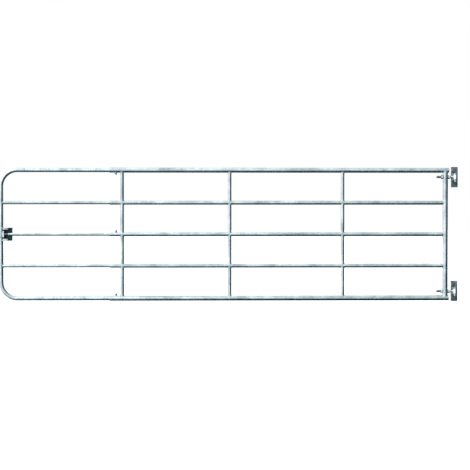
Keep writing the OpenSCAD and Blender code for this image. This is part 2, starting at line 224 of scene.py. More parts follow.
def zinc_relief(tree, place):
    edges = add(tree, "ShaderNodeTexVoronoi", {"feature": "DISTANCE_TO_EDGE"},
                {"Vector": place, "Scale": 1 / SPANGLE})
    grit = add(tree, "ShaderNodeTexNoise", inputs={"Vector": place, "Scale": 1 / GRIT, "Detail": 2.0})
    ridge = add(tree, "ShaderNodeBump", inputs={
        "Strength": 0.12, "Distance": 0.3 * MM, "Height": edges.outputs["Distance"]})
    skin = add(tree, "ShaderNodeBump", inputs={
        "Strength": 0.25, "Distance": 0.1 * MM, "Height": grit.outputs["Fac"],
        "Normal": ridge.outputs["Normal"]})
    return skin.outputs["Normal"]


# Painted shade: the zinc darkens with depth inside the box, and stays light at its lips and outer back
def shaded_inside_box(tree, place, colour, box):
    (_, front, _), (_, back, _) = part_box(box)
    depth = add(tree, "ShaderNodeSeparateXYZ", inputs={"Vector": place}).outputs["Y"]
    inside = add(tree, "ShaderNodeMapRange", inputs={"Value": depth, "From Min": front, "From Max": back})
    film = add(tree, "ShaderNodeValToRGB", inputs={"Fac": inside.outputs[0]},
               stops=[(0.12, WHITE), (0.34, BOX_SHADE), (0.94, BOX_SHADE), (0.99, WHITE)]).outputs["Color"]
    return add(tree, "ShaderNodeMix", MULTIPLY, {FACTOR: 1.0, FIRST: colour, SECOND: film}).outputs[RESULT]


print("grit", GRIT / MM, "mm")

# %% [markdown]
# ## Five skins from one bath
#
# Tubes, plates and the latch box come out of the same zinc with a different look. The tubes get the
# lightest tones, and the hinge plates a darker, duller zinc. Runs follow the way a piece hung, so rails
# and uprights get their own stretch.

# %% Galvanised steel for rails, uprights, plates and the box
def galvanised(name, run_scale, dark, light, rough, cloud=CLOUD, shaded_box=None):
    made, tree, shader, place = new_material(name)
    crystals = add(tree, "ShaderNodeTexVoronoi", inputs={"Vector": place, "Scale": 1 / SPANGLE})
    tone = add(tree, "ShaderNodeSeparateColor", inputs={"Color": crystals.outputs["Color"]}).outputs[0]
    colour = zinc_colour(tree, place, tone, run_scale, dark, light, cloud)
    if shaded_box:
        colour = shaded_inside_box(tree, place, colour, shaded_box)
    spread = add(tree, "ShaderNodeMapRange", inputs={"Value": tone, "To Min": rough[0], "To Max": rough[1]})
    metal(tree, shader, colour, spread.outputs[0], zinc_relief(tree, place))
    return made


# Runs are drawn out along the tube: 250 mm long and 12 mm wide.
LONG, SHORT = 1 / (250 * MM), 1 / (12 * MM)
ALONG, DOWN = (LONG, SHORT, SHORT), (SHORT, SHORT, LONG)
TUBE_TONES, PLATE_TONES = ("#afbac1", "#dde3e6"), ("#98a5ad", "#c6cfd5")
zinc_rail = galvanised("hot_dip_galvanised_rail", ALONG, *TUBE_TONES, (0.2, 0.34))
zinc_upright = galvanised("hot_dip_galvanised_upright", DOWN, *TUBE_TONES, (0.2, 0.34))
zinc_plate = galvanised("hot_dip_galvanised_plate", DOWN, *PLATE_TONES, (0.3, 0.46))
# The hinge plates are given darker tones than the other plates
zinc_dark = galvanised("dull_alloyed_galvanised_plate", DOWN, "#4f5a62", "#97a3ab", (0.38, 0.56), 32 * MM)
# The latch box's zinc carries painted shade inside it
zinc_box = galvanised("hot_dip_galvanised_box_with_grime", DOWN, *PLATE_TONES, (0.34, 0.5),
                      shaded_box="latch_box")
print("galvanised:", zinc_rail.name, zinc_upright.name, zinc_plate.name, zinc_dark.name, zinc_box.name)

# %% [markdown]
# ## Weld metal
#
# A weld bead is dipped with the frame, and zinc hangs on its ripples, so it is the brightest and
# roughest part of the skin. One noise of 3 mm lumps drives its colour, its roughness and its relief.

# %% Weld metal
def weld_zinc():
    made, tree, shader, place = new_material("galvanised_weld_bead")
    noise = add(tree, "ShaderNodeTexNoise", inputs={"Vector": place, "Scale": 1 / (3 * MM), "Detail": 4.0})
    lumps = noise.outputs["Fac"]
    colour = add(tree, "ShaderNodeValToRGB", inputs={"Fac": lumps},
                 stops=[(0.35, linear("#aeb9bf")), (0.65, linear("#e6ebed"))])
    spread = add(tree, "ShaderNodeMapRange", inputs={"Value": lumps, "To Min": 0.42, "To Max": 0.62})
    bump = add(tree, "ShaderNodeBump", inputs={"Strength": 0.5, "Distance": 0.3 * MM, "Height": lumps})
    metal(tree, shader, colour.outputs["Color"], spread.outputs[0], bump.outputs["Normal"])
    return made


weld_metal = weld_zinc()
print("weld metal:", weld_metal.name)

# %% [markdown]
# ## Plated steel and spring wire
#
# Bolts, nuts and pins are electroplated instead of dipped: the coat is thin, smooth and slightly blue,
# and hands, spanners and weather dull it in patches. The long threads and the coach screws get darker
# tones. The spring is patented wire with a dark oiled skin. They differ in tone and gloss only, so one
# function makes all.

# %% Electroplated steel, from bright to dark
FILM, BRUSH = 14 * MM, 0.8 * MM


def plated(name, dark, light, smooth, dull):
    made, tree, shader, place = new_material(name)
    noise = add(tree, "ShaderNodeTexNoise", inputs={
        "Vector": place, "Scale": 1 / FILM, "Detail": 6.0, "Roughness": 0.6})
    film = noise.outputs["Fac"]
    brush = add(tree, "ShaderNodeTexNoise", inputs={"Vector": place, "Scale": 1 / BRUSH, "Detail": 2.0})
    colour = add(tree, "ShaderNodeValToRGB", inputs={"Fac": film},
                 stops=[(0.3, linear(dark)), (0.62, linear(light))])
    spread = add(tree, "ShaderNodeMapRange", inputs={"Value": film, "To Min": dull, "To Max": smooth})
    bump = add(tree, "ShaderNodeBump", inputs={
        "Strength": 0.15, "Distance": 0.05 * MM, "Height": brush.outputs["Fac"]})
    metal(tree, shader, colour.outputs["Color"], spread.outputs[0], bump.outputs["Normal"])
    return made


bright_zinc = plated("zinc_plated_fastener", "#b3bdc4", "#e8eef2", 0.24, 0.42)
pin_zinc = plated("zinc_plated_hinge_pin", "#9ca6ad", "#d3dade", 0.28, 0.48)
handled_zinc = plated("zinc_plated_handle", "#a9b3ba", "#eef3f6", 0.2, 0.4)
# The long threads and the coach screws are given darker plated tones
dull_thread = plated("greased_zinc_plated_thread", "#59626a", "#8f999f", 0.34, 0.52)
screw_zinc = plated("weathered_zinc_plated_screw", "#4c555c", "#7c868d", 0.36, 0.55)
spring_skin = plated("oiled_spring_wire", "#3d4146", "#5c6168", 0.3, 0.45)
print("plated:", bright_zinc.name, pin_zinc.name, handled_zinc.name, dull_thread.name, screw_zinc.name)

# %% [markdown]
# ## Natural nylon
#
# The guide bush is turned from natural nylon, off-white and waxy: light soaks in a little, so it gets
# a little subsurface. The lathe tool leaves fine rings, and a Wave texture lies across the bush for them.

# %% Turned nylon for the bush
# The tool moves 0.4 mm in a turn. At scale 1 a Wave repeats every tau / 20, so these rings come out
# tau times as coarse as the real ones, 2.5 mm apart, which is what it takes for them to show.
FEED, WAVE = 0.4 * MM, 20


def nylon():
    made, tree, shader, place = new_material("turned_natural_nylon")
    haze = add(tree, "ShaderNodeTexNoise", inputs={"Vector": place, "Scale": 1 / (6 * MM), "Detail": 3.0})
    colour = add(tree, "ShaderNodeValToRGB", inputs={"Fac": haze.outputs["Fac"]},
                 stops=[(0.3, linear("#d8d4c6")), (0.7, linear("#eeebdf"))])
    rings = add(tree, "ShaderNodeTexWave", {"wave_type": "BANDS", "bands_direction": "X"},
                {"Vector": place, "Scale": 1 / FEED / WAVE, "Distortion": 0.0})
    bump = add(tree, "ShaderNodeBump", inputs={
        "Strength": 0.2, "Distance": 0.05 * MM, "Height": rings.outputs["Fac"]})
    tree.links.new(colour.outputs["Color"], shader.inputs["Base Color"])
    tree.links.new(bump.outputs["Normal"], shader.inputs["Normal"])
    shader.inputs["Roughness"].default_value = 0.45
    shader.inputs["IOR"].default_value = 1.53
    shader.inputs["Subsurface Weight"].default_value = 0.1
    shader.inputs["Subsurface Radius"].default_value = (1.5 * MM, 1.2 * MM, 1.0 * MM)
    shader.inputs["Subsurface Scale"].default_value = 1.0
    return made


nylon_white = nylon()
print(len(bpy.data.materials), "materials so far")

# %% [markdown]
# ## Finishes for the solids that stay
#
# Most solids are the right shape already. Each one only swaps the plain grey it came with for its
# real finish. Tubes that lie along the gate and tubes that stand get the same zinc, with the runs
# turned to follow the tube.

# %% Hand out the finishes
INNER_RAILS = {LOWER: "lower_inner_rail", CENTRE: "centre_inner_rail", UPPER: "upper_inner_rail"}
FINISH = {name: zinc_rail for name in RAILS + list(INNER_RAILS.values())}
FINISH.update({name: zinc_upright for name in UPRIGHTS + ["hinge_upright", "front_loop"]})
FINISH.update({name: zinc_plate for name in nodes if name.startswith("hinge_lugs")})
FINISH.update({name: zinc_dark for name in nodes if name.startswith("hinge_plate")})
FINISH.update({name: pin_zinc for name in nodes if name.startswith("hinge_pin")})
FINISH.update({name: zinc_plate for name in ("latch_doubler", "rail_caps", "clamp_nuts")})
FINISH.update({name: pin_zinc for name in ("pin_washers", "split_pins", "latch_bolt")})
FINISH.update({name: handled_zinc for name in ("latch_handle", "handle_screw")})
FINISH.update({"latch_spring": spring_skin, "latch_bush": nylon_white})
FINISH.update({"plate_screws": screw_zinc, "latch_box": zinc_box})
for name, node in nodes.items():
    for slot in node.material_slots:
        slot.material = FINISH.get(name, bright_zinc)
print({name: FINISH.get(name, bright_zinc).name for name in sorted(nodes)})

# %% [markdown]
# ## Turned and hexagonal parts
#
# A pin, a washer and a nut are all rings of points stacked along one axis. For a turned part the
# rings are circles. For a nut they bulge out to a hexagon, and the lathe cuts a 30 degree cone over
# its corners, which leaves the curved edge that every real nut has. One function skins the rings;
# `loop` joins the last ring to the first one, so a part with a bore closes on itself.

# %% Skin a stack of rings
HEX_STEPS = 72


def turned(profile, steps=48, loop=False):
    """Each spot of the profile is a radius and a height, or a function that gives them for an angle."""
    bm = bmesh.new()
    rings = []
    for spot in profile:
        ring = []
        for k in range(steps):
            angle = math.tau * k / steps
            radius, height = spot(angle) if callable(spot) else spot
            ring.append(bm.verts.new((radius * math.cos(angle), radius * math.sin(angle), height)))
        rings.append(ring)
    for low, high in zip(rings, rings[1:] + rings[:1] if loop else rings[1:]):
        for k in range(steps):
            bm.faces.new((low[k], low[k - 1], high[k - 1], high[k]))
    if not loop:
        bm.faces.new(rings[0])
        bm.faces.new(rings[-1])
    bmesh.ops.recalc_face_normals(bm, faces=bm.faces)
    mesh = bpy.data.meshes.new("turned")
    bm.to_mesh(mesh)
    bm.free()
    return mesh


print("a hexagon's ring has", HEX_STEPS, "points,", HEX_STEPS // 6, "to a side")

# %% Hexagons with coned corners
# The round face of a nut is 0.94 of its width across flats, and the cone starts there.
FACE = 0.94
CONE = math.tan(math.radians(30))
SIXTH = math.tau / 6


def hexagon(across):
    def radius(angle):
        return across / 2 / math.cos((angle + SIXTH / 2) % SIXTH - SIXTH / 2)
    return radius


def hex_edge(across, base, way):
    """A ring of hexagon corners, cut back by the cone: `way` is 1 over a low face, -1 under a high one."""
    radius = hexagon(across)
    return lambda angle: (radius(angle), base + way * (radius(angle) - FACE * across / 2) * CONE)


def nut(across, height, bore):
    face = FACE * across / 2
    return turned([(bore, 0), (face, 0), hex_edge(across, 0, 1), hex_edge(across, height, -1),
                   (face, height), (bore, height)], HEX_STEPS, loop=True)


print("a 30 mm nut is", round(2 * hexagon(30)(SIXTH / 2), 2), "mm over its corners")

# %% [markdown]
# ## Placing and registering
#
# Parts are built standing on the origin along Z. `aim` turns one to its direction and moves it to its
# seat, and `joined` puts several meshes into one, so a finished piece keeps its object at the origin
# with its place in its mesh, as the solids do. Edges that turn more than 32 degrees are shaded sharp.

# %% Place, join and register pieces
SHARP = math.radians(32)


def aim(at, way):
    return Matrix.Translation(at) @ Vector(way).to_track_quat("Z", "Y").to_matrix().to_4x4()


def joined(parts):
    bm = bmesh.new()
    for mesh, matrix in parts:
        start = len(bm.verts)
        bm.from_mesh(mesh)
        bm.verts.ensure_lookup_table()
        bmesh.ops.transform(bm, matrix=matrix, verts=bm.verts[start:])
    mesh = bpy.data.meshes.new("joined")
    bm.to_mesh(mesh)
    bm.free()
    return mesh


def piece(name, mesh, body, material=None, instead_of=()):
    mesh.name = name
    mesh.shade_smooth()
    mesh.set_sharp_from_angle(angle=SHARP)
    if material:
        mesh.materials.clear()
        mesh.materials.append(material)
    made = bpy.data.objects.new(name, mesh)
    scene.collection.objects.link(made)
    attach(made, body)
    if instead_of:
        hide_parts(*instead_of)
    print(name, len(mesh.polygons), "faces on", body)
    return made


# %% [markdown]
# ## Geometry Nodes, one: a bar swept along a path
#
# A weld bead follows the seam between two tubes, and a split pin is wire bent along a path. Both are
# a small circle swept along a line, so one tree makes both. The seams come in as loose edges. The
# tree turns them to curves, spaces the points evenly, swells the circle in a saw-tooth for the
# ripples that each dab of the torch leaves, and lets the line wander a little by a fixed seed.

# %% Start and finish a tree
FLOAT, INT = "NodeSocketFloat", "NodeSocketInt"
GEOMETRY, MATERIAL, OBJECT = "NodeSocketGeometry", "NodeSocketMaterial", "NodeSocketObject"


def new_tree(name, sockets):
    tree = bpy.data.node_groups.new(name, "GeometryNodeTree")
    tree.interface.new_socket("Geometry", in_out="OUTPUT", socket_type=GEOMETRY)
    for label, kind, value in sockets:
        socket = tree.interface.new_socket(label, in_out="INPUT", socket_type=kind)
        if value is not None:
            socket.default_value = value
    return tree, tree.nodes.new("NodeGroupInput").outputs, tree.nodes.new("NodeGroupOutput").inputs


def finish_tree(tree, geometry, given, out):
    smooth = add(tree, "GeometryNodeSetShadeSmooth", inputs={"Geometry": geometry})
    real = add(tree, "GeometryNodeRealizeInstances", inputs={"Geometry": smooth.outputs[0]})
    coated = add(tree, "GeometryNodeSetMaterial", inputs={
        "Geometry": real.outputs[0], "Material": given["Material"]})
    tree.links.new(coated.outputs[0], out[0])


print("every tree ends in real geometry with a finish")

# %% The sweeping tree
def sweep_tree():
    tree, given, out = new_tree("bar_along_path", [
        ("Paths", GEOMETRY, None), ("Bar Radius", FLOAT, 2 * MM), ("Point Spacing", FLOAT, 1 * MM),
        ("Ripple Pitch", FLOAT, 3 * MM), ("Ripple Swell", FLOAT, 0.2), ("Wander", FLOAT, 0.2 * MM),
        ("Seed", INT, 11), ("Material", MATERIAL, None)])
    curve = add(tree, "GeometryNodeMeshToCurve", inputs={"Mesh": given["Paths"]})
    even = add(tree, "GeometryNodeResampleCurve", {"mode": "LENGTH"}, {
        "Curve": curve.outputs[0], "Length": given["Point Spacing"]})
    back = add(tree, "ShaderNodeMath", {"operation": "MULTIPLY"}, {0: given["Wander"], 1: -1.0})
    shift = add(tree, "FunctionNodeRandomValue", {"data_type": "FLOAT_VECTOR"}, {
        0: back.outputs[0], 1: given["Wander"], "Seed": given["Seed"]})
    loose = add(tree, "GeometryNodeSetPosition", inputs={
        "Geometry": even.outputs[0], "Offset": shift.outputs[0]})
    along = add(tree, "GeometryNodeSplineParameter").outputs["Length"]
    dabs = add(tree, "ShaderNodeMath", {"operation": "DIVIDE"}, {0: along, 1: given["Ripple Pitch"]})
    tooth = add(tree, "ShaderNodeMath", {"operation": "FRACT"}, {0: dabs.outputs[0]})
    rise = add(tree, "ShaderNodeMath", {"operation": "MULTIPLY"}, {
        0: tooth.outputs[0], 1: given["Ripple Swell"]})
    swell = add(tree, "ShaderNodeMath", {"operation": "ADD"}, {0: 1.0, 1: rise.outputs[0]})
    circle = add(tree, "GeometryNodeCurvePrimitiveCircle", inputs={
        "Resolution": 10, "Radius": given["Bar Radius"]})
    swept = add(tree, "GeometryNodeCurveToMesh", inputs={
        "Curve": loose.outputs[0], "Profile Curve": circle.outputs["Curve"],
        "Scale": swell.outputs[0], "Fill Caps": True})
    finish_tree(tree, swept.outputs[0], given, out)
    return tree


bar_along_path = sweep_tree()
print(bar_along_path.name, "has", len(bar_along_path.nodes), "nodes")

# %% [markdown]
# ## Geometry Nodes, two: a helix, and copies on points
#
# A screw thread is a ridge wound round a bar, and a spring is a wire wound round nothing. The second
# tree winds one wire into a helix and copies it to every point it is given, turned by the point's own
# `turn`. Its wire has four sides for a thread, which puts a sharp crest outwards, and many for a
# spring. The third tree copies any pattern piece in the same way: it sets out the nuts and screws.

# %% The helix tree and the copying tree
def on_points(tree, points, pattern):
    turn = add(tree, "GeometryNodeInputNamedAttribute", {"data_type": "FLOAT_VECTOR"}, {"Name": "turn"})
    rotation = add(tree, "FunctionNodeEulerToRotation", inputs={"Euler": turn.outputs["Attribute"]})
    return add(tree, "GeometryNodeInstanceOnPoints", inputs={
        "Points": points, "Instance": pattern, "Rotation": rotation.outputs[0]}).outputs[0]


def helix_tree():
    tree, given, out = new_tree("helix_on_points", [
        ("Points", GEOMETRY, None), ("Turns", FLOAT, 8.0), ("Coil Radius", FLOAT, 5 * MM),
        ("Length", FLOAT, 50 * MM), ("Wire Radius", FLOAT, 1 * MM), ("Wire Sides", INT, 4),
        ("Steps Per Turn", INT, 32), ("Material", MATERIAL, None)])
    spiral = add(tree, "GeometryNodeCurveSpiral", inputs={
        "Resolution": given["Steps Per Turn"], "Rotations": given["Turns"],
        "Start Radius": given["Coil Radius"], "End Radius": given["Coil Radius"],
        "Height": given["Length"]})
    upright = add(tree, "GeometryNodeSetCurveNormal", {"mode": "Z_UP"}, {"Curve": spiral.outputs[0]})
    circle = add(tree, "GeometryNodeCurvePrimitiveCircle", inputs={
        "Resolution": given["Wire Sides"], "Radius": given["Wire Radius"]})
    wound = add(tree, "GeometryNodeCurveToMesh", inputs={
        "Curve": upright.outputs[0], "Profile Curve": circle.outputs["Curve"], "Fill Caps": True})
    finish_tree(tree, on_points(tree, given["Points"], wound.outputs[0]), given, out)
    return tree


def copies_tree():
    tree, given, out = new_tree("copies_on_points", [
        ("Points", GEOMETRY, None), ("Pattern Piece", OBJECT, None), ("Material", MATERIAL, None)])
    pattern = add(tree, "GeometryNodeObjectInfo", {"transform_space": "ORIGINAL"}, {
        "Object": given["Pattern Piece"]})
    finish_tree(tree, on_points(tree, given["Points"], pattern.outputs["Geometry"]), given, out)
    return tree


helix_on_points = helix_tree()
copies_on_points = copies_tree()
print(helix_on_points.name, "and", copies_on_points.name, "are built")

# %% [markdown]
# ## Running a tree
#
# `grow` runs a tree on a mesh. It sets each input by its socket's identifier before the object is
# looked at, takes the finished result as a plain mesh, and throws the helper object away. `spots`
# makes the point mesh that the copying trees read, with the direction of each copy as `turn`.

# %% Run a tree
def grow(tree, source, **values):
    helper = bpy.data.objects.new("helper", source)
    scene.collection.objects.link(helper)
    modifier = helper.modifiers.new("grow", "NODES")
    modifier.node_group = tree
    for item in tree.interface.items_tree:
        key = item.name.replace(" ", "_").lower()
        if item.in_out == "INPUT" and key in values:
            modifier[item.identifier] = values[key]
    depsgraph = bpy.context.evaluated_depsgraph_get()
    made = bpy.data.meshes.new_from_object(helper.evaluated_get(depsgraph), depsgraph=depsgraph)
    bpy.data.objects.remove(helper)
    return made


def spots(places):
    mesh = bpy.data.meshes.new("spots")
    mesh.from_pydata([at for at, way in places], [], [])
    turn = mesh.attributes.new("turn", "FLOAT_VECTOR", "POINT")
    for k, (at, way) in enumerate(places):
        turn.data[k].vector = Vector(way).to_track_quat("Z", "Y").to_euler()
    return mesh


def copies(pattern_mesh, places, material):
    pattern = bpy.data.objects.new("pattern", pattern_mesh)
    scene.collection.objects.link(pattern)
    made = grow(copies_on_points, spots(places), pattern_piece=pattern, material=material)
    bpy.data.objects.remove(pattern)
    return made


def paths(lines):
    """Loose edges for the sweeping tree. Each line is its points and whether it closes on itself."""
    points, edges = [], []
    for line, closed in lines:
        first = len(points)
        points += line
        edges += [(first + k, first + k + 1) for k in range(len(line) - 1)]
        if closed:
            edges.append((len(points) - 1, first))
    mesh = bpy.data.meshes.new("paths")
    mesh.from_pydata(points, edges, [])
    return mesh


# %% [markdown]
# ## Weld beads
#
# Where a round tube is cut to sit on another, the seam is a saddle: seen from the side it dips where
# the wide tube's wall falls away. Its height over the wide tube's axis follows from a right triangle,
# `sqrt(R^2 - (r sin a)^2)`. The bead's centre runs just outside that seam, so it fills the corner.
# Every upright and rail end, every weld nut and both hinge eyes get one.

# %% Seams on the rear frame
OUT = 0.5 * MM
# A hexagon's radius midway between its flats and its corners, as a share of its width across flats
NUT_SHARE = 0.54
NUT_AF, EYE_R, ROD_R = 19 * MM, 20 * MM, 10 * MM
CLAMPS = [("top_clamp", "clamp_screw_top", TOP, -1), ("centre_clamp", "clamp_screw_centre", CENTRE, 1),
          ("bottom_clamp", "clamp_screw_bottom", BOTTOM, 1)]


def saddle(at, out, up, radius, wide, steps=64):
    side = Vector(out).cross(up)
    line = []
    for k in range(steps):
        angle = math.tau * k / steps
        across = (radius + OUT) * math.sin(angle)
        rise = math.sqrt(max((wide + OUT) ** 2 - across ** 2, 0))
        level = Vector(at) + side * across + Vector(up) * (radius + OUT) * math.cos(angle)
        line.append(level + Vector(out) * rise)
    return line, True


rear_seams = []
for name in UPRIGHTS:
    x, radius = middle(name).x, size(name).y / 2
    for k in range(len(RAILS)):
        at = Vector((x, leaf_y, rail_z[k]))
        if k > BOTTOM:
            rear_seams.append(saddle(at, -Z, X, radius, rail_r[k]))
        if k < TOP:
            rear_seams.append(saddle(at, Z, X, radius, rail_r[k]))
rear_seams.append(saddle((hinge_x, leaf_y, rail_z[BOTTOM]), Z, X, hinge_r, rail_r[BOTTOM]))
rear_seams.append(saddle((hinge_x, leaf_y, rail_z[TOP]), -Z, X, hinge_r, rail_r[TOP]))
for k in (LOWER, CENTRE, UPPER):
    rear_seams.append(saddle((hinge_x, leaf_y, rail_z[k]), -X, Z, rail_r[k], hinge_r))
for body, name, k, way in CLAMPS:
    rear_seams.append(saddle((clamp_x, leaf_y, rail_z[k]), Z * way, X, NUT_AF * NUT_SHARE, rail_r[k]))
for z in eye_z:
    rear_seams.append(saddle((0, leaf_y, z), -X, Z, ROD_R, EYE_R))
rear_bead = dict(bar_radius=2.3 * MM, point_spacing=0.9 * MM, ripple_pitch=3.4 * MM, ripple_swell=0.22,
                 wander=0.25 * MM, seed=11, material=weld_metal)
rear_welds = grow(bar_along_path, paths(rear_seams), **rear_bead)
piece("rear_frame_welds", rear_welds, "outer_frame")

# %% [markdown]
# ## Seams on the front frame
#
# The front frame is welded from thinner tube, so its beads are thinner too. Its latch box and the
# doubler plate are sheet: their beads follow the front tube round each arm, and stop short of the
# corners, as a welder leaves them. Straight beads hold the doubler's front edge and the box's back.

# %% Seams on the front frame
SHEET = 4 * MM
box_low, box_high = corners("latch_box")
doubler_low, doubler_high = corners("latch_doubler")
tube = front_r + OUT


def arc(z, start, stop, steps=24):
    """Points round the front tube's axis, from one angle in degrees to another; 0 points to the hinges."""
    angles = [math.radians(start + (stop - start) * k / steps) for k in range(steps + 1)]
    return [Vector((front_x + tube * math.cos(a), leaf_y + tube * math.sin(a), z)) for a in angles], False


def post(x, y, low, high, steps=8):
    return [Vector((x, y, low + t * (high - low) / steps)) for t in range(steps + 1)], False


front_seams = []
for k, name in INNER_RAILS.items():
    front_seams.append(saddle((front_x, leaf_y, rail_z[k]), X, Z, size(name).y / 2, front_r))
for z in (box_low.z - OUT, box_high.z + OUT):
    front_seams.append(arc(z, 75, -75))
for z in (box_low.z + SHEET + OUT, box_high.z - SHEET - OUT):
    front_seams.append(arc(z, 45, -70))
for z in (doubler_low.z - OUT, doubler_high.z + OUT):
    front_seams.append(arc(z, 105, 255))
front_seams.append(post(front_x + OUT, leaf_y - (front_r + SHEET / 2), doubler_low.z, doubler_high.z))
# The back of the box is welded above and below the centre rail, clear of it and of the box's corners.
RAIL_CLEAR, CORNER_CLEAR = 18 * MM, 6 * MM
back_y = box_high.y - SHEET - OUT
back_x = front_x + math.sqrt(tube ** 2 - (back_y - leaf_y) ** 2) + OUT
front_seams.append(post(back_x, back_y, box_low.z + CORNER_CLEAR, rail_z[CENTRE] - RAIL_CLEAR))
front_seams.append(post(back_x, back_y, rail_z[CENTRE] + RAIL_CLEAR, box_high.z - CORNER_CLEAR))
front_bead = dict(rear_bead, bar_radius=1.9 * MM, seed=23)
front_welds = grow(bar_along_path, paths(front_seams), **front_bead)
piece("front_frame_welds", front_welds, "inner_frame")

# %% [markdown]
# ## Seams on the hinge plates
#
# Each lug is a flat strip that stands out from its plate, so its seam is a plain rectangle. The lower
# pair of lugs is measured from its solid, and the upper pair stands the same way about its own eye.

# %% Seams on the hinge plates
LUG_T = 8 * MM
lug_low, lug_high = corners("hinge_lugs_bottom")
half_lug = lug_high.x + OUT
plate_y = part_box("hinge_plate_bottom")[0][1] - OUT
plate_seams = []
for z in eye_z:
    for lug in (lug_low.z, lug_high.z - LUG_T):
        base = z + lug - OUT
        high = base + LUG_T + 2 * OUT
        rim = ((-half_lug, base), (half_lug, base), (half_lug, high), (-half_lug, high))
        plate_seams.append(([Vector((x, plate_y, h)) for x, h in rim], True))
plate_bead = dict(rear_bead, bar_radius=2.1 * MM, seed=5)
plate_welds = grow(bar_along_path, paths(plate_seams), **plate_bead)
piece("hinge_plate_welds", plate_welds, "post_fittings")

# %% [markdown]
# ## Eye bolts
#
# Each hinge eye is a short thick ring welded to a threaded rod. The rod goes right through the hinge
# upright, with a nut on each side, and that is how a gate is levelled: the nuts shift the eye in or
# out. The ring is turned with a small chamfer at each rim, and the thread is a helix on a core.

# %% Eyes and rods
PIN_BORE = 9.05 * MM
EYE_H = size("eye_bolt_bottom").z
ROD_END = -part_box("eye_bolt_bottom")[0][0]
RIM = 1.5 * MM
M20_PITCH, M20_THREAD = 2.5 * MM, 116 * MM
core = ROD_R - M20_PITCH / 2
# The rod starts with a 2 mm chamfer, swells to its full size behind the thread, and ends in the ring's wall.
ROD_CHAMFER, RUN_OUT, IN_RING = 2 * MM, 1.2 * MM, 14 * MM
eye_ring = turned([(PIN_BORE, RIM), (PIN_BORE + RIM, 0), (EYE_R - RIM, 0), (EYE_R, RIM),
                   (EYE_R, EYE_H - RIM), (EYE_R - RIM, EYE_H), (PIN_BORE + RIM, EYE_H),
                   (PIN_BORE, EYE_H - RIM)], 64, loop=True)
eye_rod = turned([(core - ROD_CHAMFER, 0), (core, ROD_CHAMFER), (core, M20_THREAD),
                  (ROD_R, M20_THREAD + RUN_OUT), (ROD_R, ROD_END - IN_RING)])
parts = []
for z in eye_z:
    parts.append((eye_ring, Matrix.Translation((0, leaf_y, z - EYE_H / 2))))
    parts.append((eye_rod, aim((-ROD_END, leaf_y, z), X)))
eyes = joined(parts)
piece("eye_bolts", eyes, "outer_frame", bright_zinc, ["eye_bolt_bottom", "eye_bolt_top"])

# %% Their threads
thread_start = 1.5 * MM
thread_l = M20_THREAD - thread_start
threads = grow(helix_on_points, spots([((-ROD_END + thread_start, leaf_y, z), X) for z in eye_z]),
               turns=thread_l / M20_PITCH, coil_radius=core, length=thread_l, wire_radius=M20_PITCH / 2,
               wire_sides=4, steps_per_turn=36, material=dull_thread)
piece("eye_bolt_threads", threads, "outer_frame")

# %% [markdown]
# ## Nuts and weld nuts
#
# One nut pattern serves all four seats on the eye bolts, so the copying tree sets it out. The three
# weld nuts sit on round rails, so their feet are cut to the same saddle as the uprights are.

# %% Eye bolt nuts
NUT_H, BIG_AF, SLACK = 16 * MM, 30 * MM, 0.05 * MM
nut_low, nut_high = corners("eye_bolt_nuts")
seats = [((x, leaf_y, z), X) for z in eye_z for x in (nut_low.x, nut_high.x - NUT_H)]
big_nuts = copies(nut(BIG_AF, NUT_H, ROD_R + SLACK), seats, bright_zinc)
piece("eye_bolt_nuts_chamfered", big_nuts, "outer_frame", None, ["eye_bolt_nuts"])

# %% Weld nuts for the clamp screws
WELD_NUT_H, FIT_UP, M12_R = 10 * MM, 0.2 * MM, 6 * MM


def weld_nut(rail_radius, bore):
    radius = hexagon(NUT_AF)
    wide = rail_radius + FIT_UP
    face = FACE * NUT_AF / 2
    top = rail_radius + WELD_NUT_H

    def foot(spread):
        return lambda angle: (spread(angle), math.sqrt(wide ** 2 - (spread(angle) * math.sin(angle)) ** 2))
    return turned([foot(lambda angle: bore), foot(radius), hex_edge(NUT_AF, top, -1), (face, top),
                   (bore, top)], HEX_STEPS, loop=True)


parts = []
for body, name, k, way in CLAMPS:
    seat = aim((clamp_x, leaf_y, rail_z[k]), Z * way)
    parts.append((weld_nut(rail_r[k], M12_R + SLACK), seat))
piece("clamp_weld_nuts", joined(parts), "outer_frame", zinc_plate, ["clamp_nuts"])

# %% [markdown]
# ## Coach screws
#
# A coach screw has a plain shank under its hexagon head and a coarse wood thread that tapers to a
# point. Four hold the two hinge plates, one over and one under each eye. All four share one pattern,
# and their threads are one helix on four points.

# %% Coach screws
screw_low, screw_high = corners("plate_screws")
SCREW_AF, HEAD_H, HEAD_RIM = 17 * MM, 7 * MM, 1 * MM
SCREW_R, PLAIN, STEP_DOWN = 5 * MM, 22 * MM, 2 * MM
WOOD_CORE, WOOD_PITCH, POINT_L, POINT_R = 3.6 * MM, 4.5 * MM, 10 * MM, 0.6 * MM
FROM_EYE = 62 * MM
screw_l = screw_high.y - screw_low.y - HEAD_H
screw_zs = [z + way * FROM_EYE for z in eye_z for way in (-1, 1)]
coach = turned([(FACE * SCREW_AF / 2, 0), hex_edge(SCREW_AF, 0, 1), hex_edge(SCREW_AF, HEAD_H - HEAD_RIM, 1),
                (SCREW_R, HEAD_H), (SCREW_R, HEAD_H + PLAIN), (WOOD_CORE, HEAD_H + PLAIN + STEP_DOWN),
                (WOOD_CORE, HEAD_H + screw_l - POINT_L), (POINT_R, HEAD_H + screw_l)], HEX_STEPS)
screws = copies(coach, [((0, screw_low.y, z), Y) for z in screw_zs], screw_zinc)
piece("coach_screws", screws, "post_fittings", None, ["plate_screws"])

# %% Their wood threads
wood_start = screw_low.y + HEAD_H + PLAIN + STEP_DOWN
wood_l = screw_l - PLAIN - POINT_L - 3 * MM
threads = grow(helix_on_points, spots([((0, wood_start, z), Y) for z in screw_zs]),
               turns=wood_l / WOOD_PITCH, coil_radius=WOOD_CORE, length=wood_l, wire_radius=1.4 * MM,
               wire_sides=4, steps_per_turn=28, material=screw_zinc)
piece("coach_screw_threads", threads, "post_fittings")

